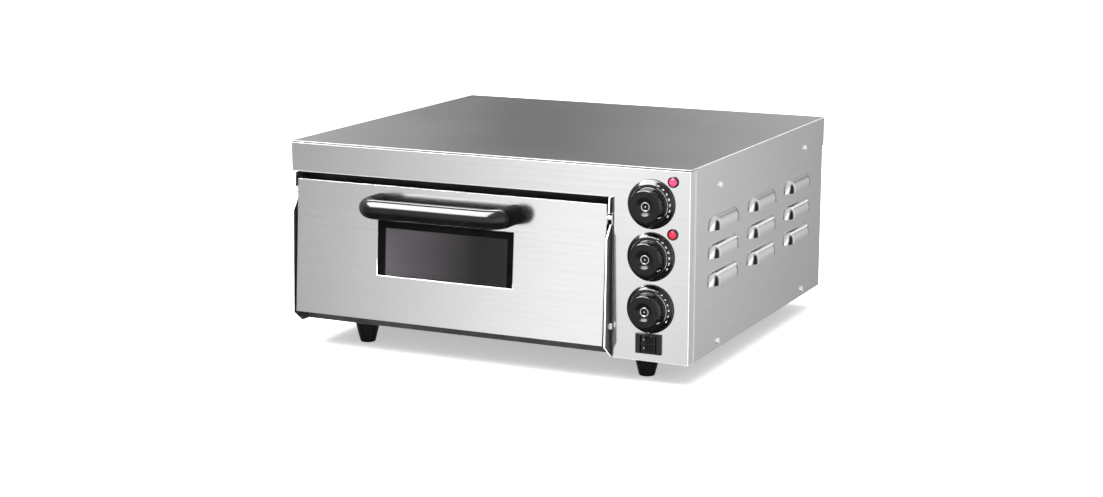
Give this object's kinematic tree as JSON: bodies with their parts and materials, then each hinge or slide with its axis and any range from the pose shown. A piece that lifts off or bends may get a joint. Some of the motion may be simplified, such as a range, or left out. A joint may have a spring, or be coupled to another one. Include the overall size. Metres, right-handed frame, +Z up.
{
  "type": "countertop pizza oven",
  "caption": "Low stainless-steel countertop pizza oven: drop-down windowed door with a round bar handle, and a side panel of knobs, lamps and rocker switches.",
  "frame": {"origin": "centre of the oven's bounding box, on the surface that the feet stand on", "axes": "+Z up, +X to the right of someone facing the door, the door and controls facing -Y"},
  "size_m": [0.568, 0.5698, 0.272],
  "materials": {
    "stainless": "satin brushed",
    "dark_steel": "heat-darkened",
    "galvanised": "galvanised",
    "chamber_steel": "aluminised",
    "fasteners": "bright zinc",
    "element": "oxidised",
    "wool": "ceramic wool",
    "stone": "rough fire clay",
    "black_gloss": "polished",
    "black_matte": "satin",
    "gasket": "matt",
    "seal": "woven",
    "glass": "smoked",
    "lamp_red": "translucent red",
    "porcelain": "glazed",
    "brass": "turned"
  },
  "bodies": {
    "casing": {"top_cover": "stainless", "front_panel": "stainless", "right_side_panel": "stainless", "left_side_panel": "stainless", "rear_panel": "galvanised", "base_pan": "dark_steel", "control_bay_wall": "galvanised", "recess_panel": "dark_steel", "foot_front_left": "black_matte", "foot_front_right": "black_matte", "foot_rear_left": "black_matte", "foot_rear_right": "black_matte", "foot_screws": "fasteners", "hinge_plate_left": "dark_steel", "hinge_plate_right": "dark_steel", "pivot_bolts": "fasteners", "casing_screws": "fasteners", "chamber_front_frame": "dark_steel", "chamber_floor": "chamber_steel", "chamber_ceiling": "chamber_steel", "chamber_left_wall": "chamber_steel", "chamber_right_wall": "chamber_steel", "chamber_back_wall": "chamber_steel", "insulation_top": "wool", "insulation_bottom": "wool", "insulation_back": "wool", "insulation_left": "wool", "insulation_right": "wool", "upper_element": "element", "lower_element": "element", "chamber_clips": "chamber_steel", "sensor_bulbs": "brass", "stone_rails": "chamber_steel", "baking_stone": "stone", "thermostat_upper": "black_matte", "thermostat_lower": "black_matte", "timer_case": "black_matte", "lamp_bezels": "black_matte", "lamp_lenses": "lamp_red", "switch_housing": "black_matte", "cable_gland": "black_matte", "terminal_block": "porcelain"},
    "door": {"door_outer_skin": "stainless", "door_inner_liner": "chamber_steel", "door_glass": "glass", "glass_gasket": "gasket", "door_insulation": "wool", "door_seal": "seal", "door_handle": "black_gloss", "handle_bolts": "fasteners", "door_pivot_blocks": "brass", "door_side_pins": "fasteners"},
    "upper_heat_control": {"knob_upper_heat": "black_gloss", "shaft_upper_heat": "brass"},
    "lower_heat_control": {"knob_lower_heat": "black_gloss", "shaft_lower_heat": "brass"},
    "timer_control": {"knob_timer": "black_gloss", "shaft_timer": "brass"},
    "rocker_upper_switch": {"rocker_upper": "black_matte"},
    "rocker_lower_switch": {"rocker_lower": "black_matte"}
  },
  "joints": [
    {"name": "door_hinge", "type": "hinge", "parent": "casing", "child": "door", "pos_m": [-0.0525, -0.22705, 0.0714], "axis": [1, 0, 0], "range_deg": [0, 90]},
    {"name": "upper_heat_turn", "type": "hinge", "parent": "casing", "child": "upper_heat_control", "pos_m": [0.225, -0.22205, 0.227], "axis": [0, 1, 0], "range_deg": [0, 300]},
    {"name": "lower_heat_turn", "type": "hinge", "parent": "casing", "child": "lower_heat_control", "pos_m": [0.225, -0.22205, 0.1623], "axis": [0, 1, 0], "range_deg": [0, 300]},
    {"name": "timer_turn", "type": "hinge", "parent": "casing", "child": "timer_control", "pos_m": [0.225, -0.22205, 0.0974], "axis": [0, 1, 0], "range_deg": [0, 330]},
    {"name": "rocker_upper_rock", "type": "hinge", "parent": "casing", "child": "rocker_upper_switch", "pos_m": [0.2232, -0.22105, 0.0589], "axis": [0, 0, 1], "range_deg": [0, 16]},
    {"name": "rocker_lower_rock", "type": "hinge", "parent": "casing", "child": "rocker_lower_switch", "pos_m": [0.2232, -0.22105, 0.0481], "axis": [0, 0, 1], "range_deg": [0, 16]}
  ]
}
